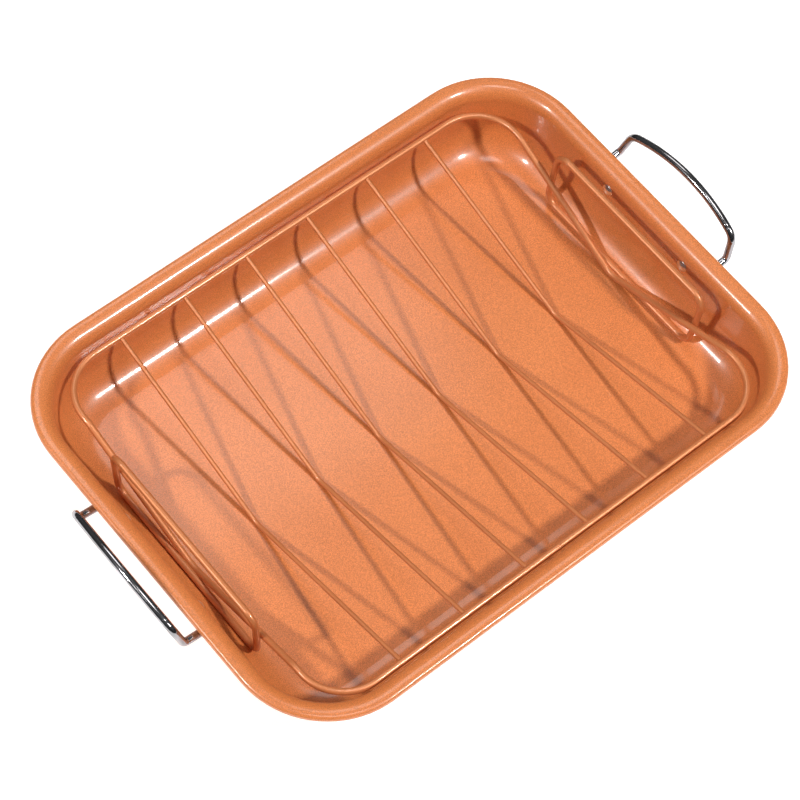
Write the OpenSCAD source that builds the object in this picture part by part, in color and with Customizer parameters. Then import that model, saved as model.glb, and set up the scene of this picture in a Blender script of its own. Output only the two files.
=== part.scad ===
// A rectangular roasting pan with a lift-out V rack.
// Millimetres, Z up, the pan's base on z = 0, X along the pan.

/* [Pan] */
// Length of the pan over the rim, without the handles
pan_length = 392; // [360:1:420]
// Width of the pan over the rim
pan_width = 295; // [285:1:320]
// Height of the rim above the table
pan_height = 51; // [46:0.5:58]
// Radius of the rim's outer corners
rim_corner_r = 60; // [50:1:66]
// Thickness of the pressed sheet
sheet = 1; // [0.6:0.1:1.4]
// Radius where the floor turns up into the wall
floor_fillet_r = 22; // [16:1:24]
// Slope of the wall from upright, in degrees
wall_slope = 6; // [4:0.5:8]
// Radius where the wall turns out into the rim
rim_roll_r = 9; // [6:0.5:11]
// Flat part of the rim
rim_flat = 1.35; // [0.5:0.05:4]
// Radius of the rolled bead round the rim's edge
bead_r = 2.5; // [2:0.1:3]

/* [Rivets] */
// Distance of the rivets below the top of the rim
rivet_drop = 14.2; // [13:0.1:18]
// Distance of each rivet from the middle of the end wall
rivet_y = 34; // [28:0.5:36]
// Radius of the shank
rivet_shank_r = 2; // [1.5:0.1:2.5]
// Radius of the head inside the pan
rivet_head_r = 4; // [3:0.1:5]
// Height of the head inside the pan
rivet_head_h = 2; // [1:0.1:2.5]
// Radius of the closed end outside
rivet_tail_r = 3.6; // [3:0.1:4.2]
// Height of the closed end outside
rivet_tail_h = 1.6; // [1:0.1:2.2]
// Room round the shank in its holes
rivet_room = 0.05; // [0.02:0.01:0.1]

/* [Pan handles] */
// Radius of the handle wire
handle_wire_r = 2.5; // [2.2:0.1:2.8]
// Thickness of the flattened ends
tab_t = 2.2; // [1.5:0.1:3]
// Radius of the round pad under each rivet
tab_pad_r = 7; // [5.5:0.1:8]
// Distance of each leg's foot from the middle
handle_leg_y = 48.4; // [46:0.1:56]
// Length of round wire between a leg and its flattened end
handle_end_run = 8.1; // [7.5:0.1:8.5]
// Distance below the top of the rim at which the wire leaves the wall
handle_root_drop = 11; // [10:0.1:13]
// Gap between the round wire and the wall
handle_wall_gap = 0.1; // [0:0.05:0.5]
// Distance of each foot bend past the rim
handle_foot_out = 8.8; // [7:0.1:12]
// Distance of each foot bend below the top of the rim
handle_foot_drop = 8.5; // [6:0.1:10]
// Slope of the arch from level, in degrees
arch_tilt = 74.5; // [60:0.5:85]
// Length of the arch from its feet to its shoulders
arch_shoulder_h = 17; // [15:0.1:20]
// How far each shoulder stands in from its foot
arch_shoulder_in = 3.2; // [1:0.1:6]
// Length of the arch from its shoulders to the peak that the broad bend rounds off
arch_peak_h = 17; // [14:0.1:20]
// Radius of the bends at the wall
root_bend_r = 4; // [3:0.5:4.5]
// Radius of the bends at the feet
foot_bend_r = 4; // [3:0.5:6]
// Radius of the bends at the shoulders
shoulder_bend_r = 9; // [6:0.5:12]
// Straight part between a shoulder and the broad bend over the middle
arch_straight = 2.9; // [2.9:0.1:12]

/* [Rack] */
// Radius of the wire of the ring and of the lift handles
ring_wire_r = 2.1; // [1.8:0.1:2.4]
// Radius of the cross wires
cross_wire_r = 1.4; // [1.1:0.1:1.7]
// How far the middle of the ring's wire stands past each end of the flat floor
ring_end_out = 5; // [1:0.1:8]
// Gap between the ring's sides and the walls
ring_side_gap = 2.2; // [1.5:0.1:15]
// Height of the ring's level sides
ring_z = 38.5; // [34:0.1:42]
// Radius of the ring's corners
ring_corner_r = 30; // [22:1:30]
// Distance from the end of a corner to the bend into the dip
ring_dip_lead = 3.9; // [3.9:0.1:20]
// Radius of the bends in the ring's ends
ring_dip_r = 16; // [8:0.5:18]
// How far the bottom of each dip stands in from the corners
ring_dip_in = 2.4; // [1:0.1:4]
// Height of the weld bead where the ring's two ends meet
ring_joint_h = 0.35; // [0.2:0.05:0.5]
// Number of cross wires
cross_wire_count = 6; // [4:1:8]
// Distance of the first and last cross wires from the ring's ends
cross_wire_inset = 48.5; // [40:0.5:80]
// Radius of the bend at the middle of a cross wire
cross_bend_r = 10; // [5:0.5:20]
// Depth of the cross wires' ends in the ring
cross_weld_sink = 0.8; // [0.6:0.05:1.2]
// Depth of the welds between the ring and the lift handles
loop_weld_sink = 0.4; // [0.3:0.05:0.6]
// Gap between the rack and the pan
rest_gap = 0.3; // [0.2:0.05:0.5]

/* [Lift handles] */
// Half width of a lift handle, to the middle of its wire
loop_half_y = 65.4; // [50:0.1:75]
// Height of a lift handle above the ring
loop_above_ring = 12.7; // [8:0.1:20]
// Radius of a lift handle's corners
loop_bend_r = 9; // [6:0.5:12]

/* [Hidden] */
$fn = 120;
wire_fn = 48;
bend_mark = 0.05; // slight swelling where a bend begins
copper = [0.80, 0.45, 0.28];
steel = [0.78, 0.78, 0.80];

// Run of the sheet from the edge of the flat floor out to the rim's edge
fillet_z = sheet + floor_fillet_r;
wall_from_z = fillet_z - floor_fillet_r * sin(wall_slope);
wall_to_z = pan_height - rim_roll_r * (1 - sin(wall_slope));
wall_rise = wall_to_z - wall_from_z;
wall_length = wall_rise / cos(wall_slope);
wall_run = wall_rise * tan(wall_slope);
bends_run = (floor_fillet_r + rim_roll_r) * cos(wall_slope);
floor_corner_r = rim_corner_r - bends_run - wall_run - rim_flat - bead_r;
straight_x = pan_length - 2 * rim_corner_r;
straight_y = pan_width - 2 * rim_corner_r;
floor_half_x = straight_x / 2 + floor_corner_r;
floor_half_y = straight_y / 2 + floor_corner_r;

// Distance of the wall's inner face from the edge of the flat floor, at height z
function wall_out(z) =
    floor_fillet_r * cos(wall_slope) + (z - wall_from_z) * tan(wall_slope);

rivet_z = pan_height - rivet_drop;

// Middle of a wire along Y that rests a gap above the end of the floor at x
function rest_z(x, wire_r) =
    let (reach = floor_fillet_r - rest_gap - wire_r, out = max(0, x - floor_half_x))
    fillet_z - sqrt(reach * reach - out * out);

// Bottom of a bend between two slopes that meet at the same height
function bend_drop(rise, run, bend_r) =
    bend_r * (norm([rise, run]) / run - 1);

ring_half_x = floor_half_x + ring_end_out;
ring_half_y = floor_half_y + wall_out(ring_z) - ring_side_gap - ring_wire_r;
ring_dip_y = ring_half_y - ring_corner_r - ring_dip_lead;
ring_dip_x = ring_half_x - ring_dip_in;
ring_low_z = rest_z(ring_dip_x, ring_wire_r);
ring_dip_z = ring_low_z - bend_drop(ring_z - ring_low_z, ring_dip_y, ring_dip_r);

cross_wire_step = 2 * (ring_half_x - cross_wire_inset) / (cross_wire_count - 1);
cross_low_z = sheet + rest_gap + cross_wire_r;
cross_dip_z = cross_low_z - bend_drop(ring_z - cross_low_z, ring_half_y, cross_bend_r);

// A lift handle leans with the ring's ends and stands against their outer side
loop_off = 2 * ring_wire_r - loop_weld_sink;
loop_lean = ring_dip_in / (ring_z - ring_dip_z);
loop_foot_z = rest_z(ring_dip_x + loop_off, ring_wire_r + bend_mark);
loop_top_z = ring_z + loop_above_ring;

// Pan

// Basin cut across, from the corner's centre out to a wall face at radius r from
// the middle of the fillet
module basin_area(r, rise) {
    translate([0, fillet_z - r])
        square([floor_corner_r, r + rise]);
    translate([floor_corner_r, fillet_z])
        rotate(-wall_slope)
            translate([-floor_corner_r / 2, 0])
                square([floor_corner_r / 2 + r, rise]);
    translate([floor_corner_r, fillet_z])
        rotate(-wall_slope)
            intersection() {
                circle(r = r);
                translate([-floor_corner_r / 2, -r])
                    square([floor_corner_r + r, r + sheet]);
            }
}

// Places its children on the centre of the roll between the wall and the rim
module at_roll() {
    translate([floor_corner_r, fillet_z])
        rotate(-wall_slope)
            translate([floor_fillet_r + rim_roll_r, wall_length])
                rotate(wall_slope)
                    children();
}

// Corner between the wall and the flat of the rim
module roll_corner(reach) {
    wall_dir = [-cos(wall_slope), sin(wall_slope)];
    polygon([[0, 0], reach * wall_dir, reach * (wall_dir + [0, 1]), [0, reach]]);
}

// Sheet cut across, from the corner's centre to the rim's edge
module sheet_profile() {
    difference() {
        union() {
            basin_area(floor_fillet_r + sheet, wall_length + rim_roll_r);
            at_roll() {
                roll_corner(rim_roll_r);
                translate([-rim_roll_r, rim_roll_r - sheet])
                    square([rim_roll_r + rim_flat, sheet]);
            }
        }
        basin_area(floor_fillet_r, wall_length + 2 * rim_roll_r);
        at_roll() {
            intersection() {
                roll_corner(2 * rim_roll_r);
                circle(r = rim_roll_r - sheet);
            }
            difference() {
                roll_corner(2 * rim_roll_r);
                circle(r = rim_roll_r);
            }
        }
    }
    at_roll()
        translate([rim_flat, rim_roll_r - bead_r])
            difference() {
                circle(r = bead_r);
                circle(r = bead_r - sheet);
                translate([-2 * bead_r, 0])
                    square([2 * bead_r, bead_r - sheet]);
            }
}

module pan_corner() {
    rotate_extrude(angle = 90)
        sheet_profile();
}

module pan_side(length) {
    rotate([90, 0, 90])
        translate([0, 0, -length / 2])
            linear_extrude(length)
                sheet_profile();
}

module pan_shell() {
    translate([-straight_x / 2, -straight_y / 2, 0])
        cube([straight_x, straight_y, sheet]);
    for (turn = [0, 180])
        rotate(turn) {
            translate([straight_x / 2, straight_y / 2, 0])
                pan_corner();
            translate([-straight_x / 2, straight_y / 2, 0])
                rotate(90)
                    pan_corner();
            translate([0, straight_y / 2, 0])
                pan_side(straight_x);
            translate([straight_x / 2, 0, 0])
                rotate(-90)
                    pan_side(straight_y);
        }
}

// Places its children on the inner face of the right end wall, Z out through it
module on_end_wall(y, z) {
    rise = (z - wall_from_z) / cos(wall_slope);
    translate([straight_x / 2, y, 0])
        translate([floor_corner_r, 0, fillet_z])
            rotate([0, wall_slope, 0])
                translate([floor_fillet_r, 0, rise])
                    rotate([0, 90, 0])
                        children();
}

module rivet_hole() {
    translate([0, 0, -tab_t])
        cylinder(h = sheet + 3 * tab_t, r = rivet_shank_r + rivet_room);
}

module pan_body() {
    color(copper)
    difference() {
        pan_shell();
        for (turn = [0, 180], y = [-rivet_y, rivet_y])
            rotate(turn)
                on_end_wall(y, rivet_z)
                    rivet_hole();
    }
}

// Rivets

// Part of a ball that stands h above z = 0 on a round foot
module dome(r, h) {
    ball_r = (r * r + h * h) / (2 * h);
    intersection() {
        translate([0, 0, h - ball_r])
            sphere(r = ball_r);
        cylinder(h = 2 * h, r = 2 * r);
    }
}

module rivet(turn, y) {
    color(steel)
    rotate(turn)
        on_end_wall(y, rivet_z) {
            cylinder(h = sheet + tab_t, r = rivet_shank_r);
            mirror([0, 0, 1])
                dome(rivet_head_r, rivet_head_h);
            translate([0, 0, sheet + tab_t])
                dome(rivet_tail_r, rivet_tail_h);
        }
}

// Wire bending

function unit(v) = v / norm(v);

// Angle that a path turns through at b
function turn_at(a, b, c) = acos(unit(b - a) * unit(c - b));

// How much of its two runs the bend at each point of a path takes up
function setbacks(path, bends) = [
    for (i = [0 : len(path) - 1])
        i == 0 || i == len(path) - 1 ? 0
        : bends[i - 1] * tan(turn_at(path[i - 1], path[i], path[i + 1]) / 2)
];

module wire_bend(a, b, c, bend_r, wire_r) {
    turn = turn_at(a, b, c);
    run = unit(b - a);
    next = unit(c - b);
    away = unit((next * run) * run - next);
    axis = cross(away, run);
    multmatrix([
        [away.x, run.x, axis.x, b.x],
        [away.y, run.y, axis.y, b.y],
        [away.z, run.z, axis.z, b.z]
    ])
        translate([-bend_r, -bend_r * tan(turn / 2), 0]) {
            rotate_extrude(angle = turn)
                translate([bend_r, 0])
                    circle(r = wire_r, $fn = wire_fn);
            for (end = [0, turn])
                rotate(end)
                    translate([bend_r, 0, 0])
                        sphere(r = wire_r + bend_mark, $fn = wire_fn);
        }
}

module wire_run(a, b, from_a, from_b, wire_r) {
    run = unit(b - a);
    translate(a)
        rotate([0, acos(run.z), atan2(run.y, run.x)])
            translate([0, 0, from_a])
                cylinder(h = norm(b - a) - from_a - from_b, r = wire_r, $fn = wire_fn);
}

// Round wire along a path, with one bend radius for each point between its ends
module wire(path, bends, wire_r) {
    back = setbacks(path, bends);
    for (i = [1 : len(path) - 1])
        wire_run(path[i - 1], path[i], back[i - 1], back[i], wire_r);
    for (i = [1 : len(bends)])
        wire_bend(path[i - 1], path[i], path[i + 1], bends[i - 1], wire_r);
}

// Pan handles

function flip_y(p) = [p.x, -p.y, p.z];

// Half of a handle's wire, from its flattened end to its peak, with X measured
// from the rim's end
root_off = sheet + handle_wall_gap + handle_wire_r;
root_wall_z = pan_height - handle_root_drop;
root_x = floor_half_x - pan_length / 2 + wall_out(root_wall_z) + root_off * cos(wall_slope);
root_z = root_wall_z - root_off * sin(wall_slope);
arch_dir = [cos(arch_tilt), 0, sin(arch_tilt)];
foot = [handle_foot_out, handle_leg_y, pan_height - handle_foot_drop];
root = [root_x, handle_leg_y, root_z];
shoulder = foot - [0, arch_shoulder_in, 0] + arch_shoulder_h * arch_dir;
peak = [foot.x, 0, foot.z] + (arch_shoulder_h + arch_peak_h) * arch_dir;
wire_end = root - [0, handle_end_run, 0];
shoulder_back = shoulder_bend_r * tan(turn_at(foot, shoulder, peak) / 2);
arch_bend_r = (norm(peak - shoulder) - shoulder_back - arch_straight)
    / tan(turn_at(shoulder, peak, flip_y(shoulder)) / 2);

// Flattened end: a pad under the rivet with a neck up to the round wire
module tab(side) {
    neck = [(rivet_z - root_wall_z) / cos(wall_slope), side * (wire_end.y - rivet_y)];
    difference() {
        on_end_wall(side * rivet_y, rivet_z)
            translate([0, 0, sheet]) {
                cylinder(h = tab_t, r = tab_pad_r);
                translate([neck.x, neck.y, 0])
                    cylinder(h = tab_t, r = handle_wire_r);
            }
        on_end_wall(side * rivet_y, rivet_z)
            rivet_hole();
    }
}

module pan_handle(turn) {
    color(steel)
    rotate(turn) {
        translate([pan_length / 2, 0, 0]) {
            wire(
                [
                    wire_end, root, foot, shoulder, peak,
                    flip_y(shoulder), flip_y(foot), flip_y(root), flip_y(wire_end)
                ],
                [
                    root_bend_r, foot_bend_r, shoulder_bend_r, arch_bend_r,
                    shoulder_bend_r, foot_bend_r, root_bend_r
                ],
                handle_wire_r
            );
            for (end = [wire_end, flip_y(wire_end)])
                translate(end)
                    rotate([90, 0, 0])
                        sphere(r = handle_wire_r + bend_mark, $fn = wire_fn);
        }
        for (side = [-1, 1])
            tab(side);
    }
}

// Rack

module rack_ring() {
    start = [0, -ring_half_y, ring_z];
    near_corner = [ring_half_x, -ring_half_y, ring_z];
    near_turn = [ring_half_x, -ring_dip_y, ring_z];
    dip = [ring_dip_x, 0, ring_dip_z];
    right_end = [near_corner, near_turn, dip, flip_y(near_turn), flip_y(near_corner)];
    left_end = [for (p = right_end) [-p.x, -p.y, p.z]];
    end_bends = [ring_corner_r, ring_dip_r, ring_dip_r, ring_dip_r, ring_corner_r];
    color(copper) {
        wire(
            concat([start], right_end, left_end, [start]),
            concat(end_bends, end_bends),
            ring_wire_r
        );
        translate(start)
            rotate([0, 90, 0])
                sphere(r = ring_wire_r + ring_joint_h, $fn = wire_fn);
    }
}

module cross_wire(i) {
    dip = [0, 0, cross_dip_z];
    ring_side = [0, ring_half_y, ring_z];
    end = ring_side - (ring_wire_r - cross_weld_sink) * unit(ring_side - dip);
    color(copper)
    translate([(i - (cross_wire_count + 1) / 2) * cross_wire_step, 0, 0])
        wire([flip_y(end), dip, end], [cross_bend_r], cross_wire_r);
}

module rack_handle(turn) {
    foot_x = loop_off - (ring_z - loop_foot_z) * loop_lean;
    top_x = loop_off + loop_above_ring * loop_lean;
    start = [foot_x, 0, loop_foot_z];
    foot_corner = [foot_x, loop_half_y, loop_foot_z];
    top_corner = [top_x, loop_half_y, loop_top_z];
    color(copper)
    rotate(turn)
        translate([ring_half_x, 0, 0]) {
            wire(
                [start, foot_corner, top_corner, flip_y(top_corner), flip_y(foot_corner), start],
                [loop_bend_r, loop_bend_r, loop_bend_r, loop_bend_r],
                ring_wire_r
            );
            translate(start)
                sphere(r = ring_wire_r + bend_mark, $fn = wire_fn);
        }
}

pan_body();
pan_handle(180);  // handle_left
pan_handle(0);  // handle_right
rivet(180, rivet_y);  // rivet_1
rivet(180, -rivet_y);  // rivet_2
rivet(0, -rivet_y);  // rivet_3
rivet(0, rivet_y);  // rivet_4
rack_ring();
for (i = [1 : cross_wire_count])
    cross_wire(i);
rack_handle(180);  // rack_handle_left
rack_handle(0);  // rack_handle_right
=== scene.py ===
"""Looks of the roasting pan: coated sheet, coated wire rack, polished steel handles."""

import math
import bpy
from mathutils import Matrix, Vector

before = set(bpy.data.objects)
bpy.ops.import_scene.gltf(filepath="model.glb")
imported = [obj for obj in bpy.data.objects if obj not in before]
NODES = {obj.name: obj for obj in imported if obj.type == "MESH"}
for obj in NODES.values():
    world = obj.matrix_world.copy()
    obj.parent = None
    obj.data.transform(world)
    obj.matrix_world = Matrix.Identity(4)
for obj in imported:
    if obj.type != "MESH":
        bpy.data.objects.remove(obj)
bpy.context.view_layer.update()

NOISE_ROUGHNESS = 0.5


# Node helpers


def new_material(name):
    m = bpy.data.materials.new(name)
    m.use_nodes = True
    m.node_tree.nodes.clear()
    return m, m.node_tree.nodes, m.node_tree.links


def noise(nodes, links, where, scale, detail):
    n = nodes.new("ShaderNodeTexNoise")
    n.inputs["Scale"].default_value = scale
    n.inputs["Detail"].default_value = detail
    n.inputs["Roughness"].default_value = NOISE_ROUGHNESS
    links.new(where, n.inputs["Vector"])
    return n.outputs["Fac"]


def ramp(nodes, links, value, stops):
    r = nodes.new("ShaderNodeValToRGB")
    cr = r.color_ramp
    while len(cr.elements) < len(stops):
        cr.elements.new(0.5)
    for e, (at, colour) in zip(cr.elements, stops):
        e.position = at
        e.color = (*colour, 1.0)
    links.new(value, r.inputs["Fac"])
    return r.outputs["Color"]


def spread(nodes, links, value, low, high, to_low, to_high):
    r = nodes.new("ShaderNodeMapRange")
    r.inputs["From Min"].default_value = low
    r.inputs["From Max"].default_value = high
    r.inputs["To Min"].default_value = to_low
    r.inputs["To Max"].default_value = to_high
    links.new(value, r.inputs["Value"])
    return r.outputs["Result"]


def blend(nodes, links, mode, factor, a, b):
    m = nodes.new("ShaderNodeMix")
    m.data_type = "RGBA"
    m.blend_type = mode
    m.inputs["Factor"].default_value = factor
    links.new(a, m.inputs["A"])
    links.new(b, m.inputs["B"])
    return m.outputs["Result"]


def bump(nodes, links, height, strength, distance):
    b = nodes.new("ShaderNodeBump")
    b.inputs["Strength"].default_value = strength
    b.inputs["Distance"].default_value = distance
    links.new(height, b.inputs["Height"])
    return b.outputs["Normal"]


# Copper-coloured non-stick coat: a fine mineral fleck under a thin clear gloss


FLECK_SCALE = 2600.0
GRAIN_SCALE = 620.0
CLOUD_SCALE = 16.0
COAT_IOR = 1.6
BASE_IOR = 1.5
GRAIN_STRENGTH = 0.35


def coat(name, tones, metal, rough, speck, ripple, clear, clear_rough):
    """Coat whose colour drifts over three tones, with a fleck of strength speck."""
    m, nodes, links = new_material(name)
    where = nodes.new("ShaderNodeTexCoord").outputs["Object"]
    fleck = noise(nodes, links, where, FLECK_SCALE, 1.0)
    grain = noise(nodes, links, where, GRAIN_SCALE, 2.0)
    cloud = noise(nodes, links, where, CLOUD_SCALE, 3.0)
    base = ramp(nodes, links, cloud, list(zip((0.30, 0.52, 0.74), tones)))
    dots = ramp(
        nodes,
        links,
        fleck,
        [
            (0.38, (1 - speck, 1 - speck, 1 - speck)),
            (0.5, (1.0, 1.0, 1.0)),
            (0.62, (1 + speck, 1 + speck, 1 + speck)),
        ],
    )
    colour = blend(nodes, links, "MULTIPLY", 1.0, base, dots)
    s = nodes.new("ShaderNodeBsdfPrincipled")
    s.inputs["Metallic"].default_value = metal
    s.inputs["IOR"].default_value = BASE_IOR
    s.inputs["Coat Weight"].default_value = clear
    s.inputs["Coat Roughness"].default_value = clear_rough
    s.inputs["Coat IOR"].default_value = COAT_IOR
    links.new(colour, s.inputs["Base Color"])
    links.new(
        spread(nodes, links, grain, 0.3, 0.7, rough - 0.05, rough + 0.06),
        s.inputs["Roughness"],
    )
    fine = bump(nodes, links, grain, GRAIN_STRENGTH, ripple)
    links.new(fine, s.inputs["Normal"])
    out = nodes.new("ShaderNodeOutputMaterial")
    links.new(s.outputs["BSDF"], out.inputs["Surface"])
    return m


PAN = coat(
    "pan_coat",
    tones=((0.580, 0.176, 0.048), (0.610, 0.190, 0.054), (0.635, 0.202, 0.059)),
    metal=0.0,
    rough=0.40,
    speck=0.26,
    ripple=0.00001,
    clear=0.50,
    clear_rough=0.14,
)
RACK = coat(
    "rack_coat",
    tones=((0.560, 0.190, 0.066), (0.600, 0.208, 0.074), (0.640, 0.226, 0.082)),
    metal=0.35,
    rough=0.42,
    speck=0.08,
    ripple=0.000003,
    clear=0.45,
    clear_rough=0.15,
)


# Polished and brushed steel


STREAK_STRETCH = (1.0, 0.06, 1.0)
STREAK_SCALE = 900.0
SMEAR_SCALE = 60.0
STREAK_DEPTH = 0.00003


def steel(name, dark, light, rough, streak):
    """Metal between two greys, with drawn lines of strength streak."""
    m, nodes, links = new_material(name)
    where = nodes.new("ShaderNodeTexCoord").outputs["Object"]
    stretch = nodes.new("ShaderNodeMapping")
    stretch.inputs["Scale"].default_value = STREAK_STRETCH
    links.new(where, stretch.inputs["Vector"])
    lines = noise(nodes, links, stretch.outputs["Vector"], STREAK_SCALE, 3.0)
    smear = noise(nodes, links, where, SMEAR_SCALE, 3.0)
    colour = ramp(nodes, links, smear, [(0.35, dark), (0.65, light)])
    s = nodes.new("ShaderNodeBsdfPrincipled")
    s.inputs["Metallic"].default_value = 1.0
    links.new(colour, s.inputs["Base Color"])
    links.new(
        spread(nodes, links, lines, 0.3, 0.7, rough, rough + 0.10),
        s.inputs["Roughness"],
    )
    links.new(
        bump(nodes, links, lines, streak, STREAK_DEPTH), s.inputs["Normal"]
    )
    out = nodes.new("ShaderNodeOutputMaterial")
    links.new(s.outputs["BSDF"], out.inputs["Surface"])
    return m


CHROME = steel(
    "handle_steel",
    dark=(0.27, 0.27, 0.28),
    light=(0.42, 0.42, 0.45),
    rough=0.08,
    streak=0.02,
)
RIVET = steel(
    "rivet_steel",
    dark=(0.80, 0.78, 0.76),
    light=(0.90, 0.88, 0.86),
    rough=0.28,
    streak=0.15,
)


def dress(obj, material):
    obj.data.materials.clear()
    obj.data.materials.append(material)


for name, obj in NODES.items():
    if name == "pan_body":
        dress(obj, PAN)
    elif name.startswith("handle"):
        dress(obj, CHROME)
    elif name.startswith("rivet"):
        dress(obj, RIVET)
    else:
        dress(obj, RACK)


# Floor, sky and lights

FLOOR_HALF = 3.0
FLOOR_DROP = 0.0004
FLOOR_GLOW = 0.6
FLOOR_NOISE_SCALE = 3.0

scene = bpy.context.scene
scene.view_settings.view_transform = "Standard"
scene.view_settings.look = "None"


def floor_material():
    m, nodes, links = new_material("floor_white")
    where = nodes.new("ShaderNodeTexCoord").outputs["Object"]
    tone = ramp(
        nodes,
        links,
        noise(nodes, links, where, FLOOR_NOISE_SCALE, 2.0),
        [(0.3, (0.88, 0.88, 0.88)), (0.7, (0.92, 0.92, 0.92))],
    )
    s = nodes.new("ShaderNodeBsdfPrincipled")
    s.inputs["Roughness"].default_value = 0.9
    s.inputs["Specular IOR Level"].default_value = 0.1
    s.inputs["Emission Strength"].default_value = FLOOR_GLOW
    links.new(tone, s.inputs["Base Color"])
    links.new(tone, s.inputs["Emission Color"])
    out = nodes.new("ShaderNodeOutputMaterial")
    links.new(s.outputs["BSDF"], out.inputs["Surface"])
    return m


mesh = bpy.data.meshes.new("floor")
mesh.from_pydata(
    [
        (FLOOR_HALF * x, FLOOR_HALF * y, 0)
        for x, y in ((-1, -1), (1, -1), (1, 1), (-1, 1))
    ],
    [],
    [(0, 1, 2, 3)],
)
floor = bpy.data.objects.new("floor", mesh)
scene.collection.objects.link(floor)
floor.location.z = -FLOOR_DROP
floor.data.materials.append(floor_material())


# Height above the horizon, from 0 to 1, and the brightness there
SKY = ((0.0, 0.03), (0.35, 0.06), (1.0, 0.15))


def studio_world():
    """Dim grey room, a little brighter overhead."""
    w = bpy.data.worlds.new("studio")
    w.use_nodes = True
    nodes, links = w.node_tree.nodes, w.node_tree.links
    back = nodes["Background"]
    way = nodes.new("ShaderNodeTexCoord").outputs["Generated"]
    parts = nodes.new("ShaderNodeSeparateXYZ")
    links.new(way, parts.inputs["Vector"])
    tone = ramp(
        nodes,
        links,
        parts.outputs["Z"],
        [(at, (level,) * 3) for at, level in SKY],
    )
    links.new(tone, back.inputs["Color"])
    back.inputs["Strength"].default_value = 1.0
    return w


scene.world = studio_world()


LAMP_COLOUR = (1.0, 0.97, 0.94)


def lamp(name, toward, distance, size, power):
    """Soft light aimed at the pan: a disk, or a panel when size is its two sides."""
    light = bpy.data.lights.new(name, "AREA")
    if isinstance(size, tuple):
        light.shape = "RECTANGLE"
        light.size, light.size_y = size
    else:
        light.shape = "DISK"
        light.size = size
    light.energy = power
    light.color = LAMP_COLOUR
    obj = bpy.data.objects.new(name, light)
    scene.collection.objects.link(obj)
    way = Vector(toward).normalized()
    side = Vector((1, 0, 0)) - way.x * way
    side.normalize()
    up = way.cross(side)
    place = way * distance
    turn = Matrix((side, up, way)).transposed().to_4x4()
    obj.matrix_world = Matrix.Translation(place) @ turn
    return obj


LAMP_AWAY = 2.4
PANEL_AWAY = 2.43

lamp("lamp_top", (0.0, -0.10, 1.0), LAMP_AWAY, 0.70, 8.0)
lamp("lamp_left", (-1.0, 0.30, 1.05), LAMP_AWAY, 0.20, 30.0)
lamp("lamp_near", (0.34, -0.70, 1.0), LAMP_AWAY, 0.22, 42.0)
lamp("panel_far", (0.275, 0.525, 1.0), PANEL_AWAY, (0.80, 0.65), 5.6)
lamp("strip_across", (-0.90, 0.10, 1.0), LAMP_AWAY, (0.06, 0.85), 1.5)


# Camera, at the photograph's angle

AZIMUTH = math.radians(-46.47)
HEIGHT = math.radians(61.44)
ROLL = math.radians(8.0)
AWAY = 1.5779
ASIDE = (0.00786, 0.00777)
AIM_Z = 0.0385
FOCAL_PIXELS = 2702.7
FRAME_PIXELS = 800
SENSOR = 36.0
NEAREST_SEEN = 0.05

toward = Vector(
    (
        math.sin(AZIMUTH) * math.cos(HEIGHT),
        -math.cos(AZIMUTH) * math.cos(HEIGHT),
        math.sin(HEIGHT),
    )
)
level = (-toward).cross(Vector((0, 0, 1))).normalized()
upright = level.cross(-toward)
side = level * math.cos(ROLL) + upright * math.sin(ROLL)
top = -level * math.sin(ROLL) + upright * math.cos(ROLL)
place = Vector((0, 0, AIM_Z)) + toward * AWAY - side * ASIDE[0] - top * ASIDE[1]

camera = bpy.data.cameras.new("camera")
camera.sensor_width = SENSOR
camera.lens = FOCAL_PIXELS / FRAME_PIXELS * SENSOR
camera.clip_start = NEAREST_SEEN
camera_object = bpy.data.objects.new("camera", camera)
scene.collection.objects.link(camera_object)
turn = Matrix((side, top, toward)).transposed().to_4x4()
camera_object.matrix_world = Matrix.Translation(place) @ turn
scene.camera = camera_object
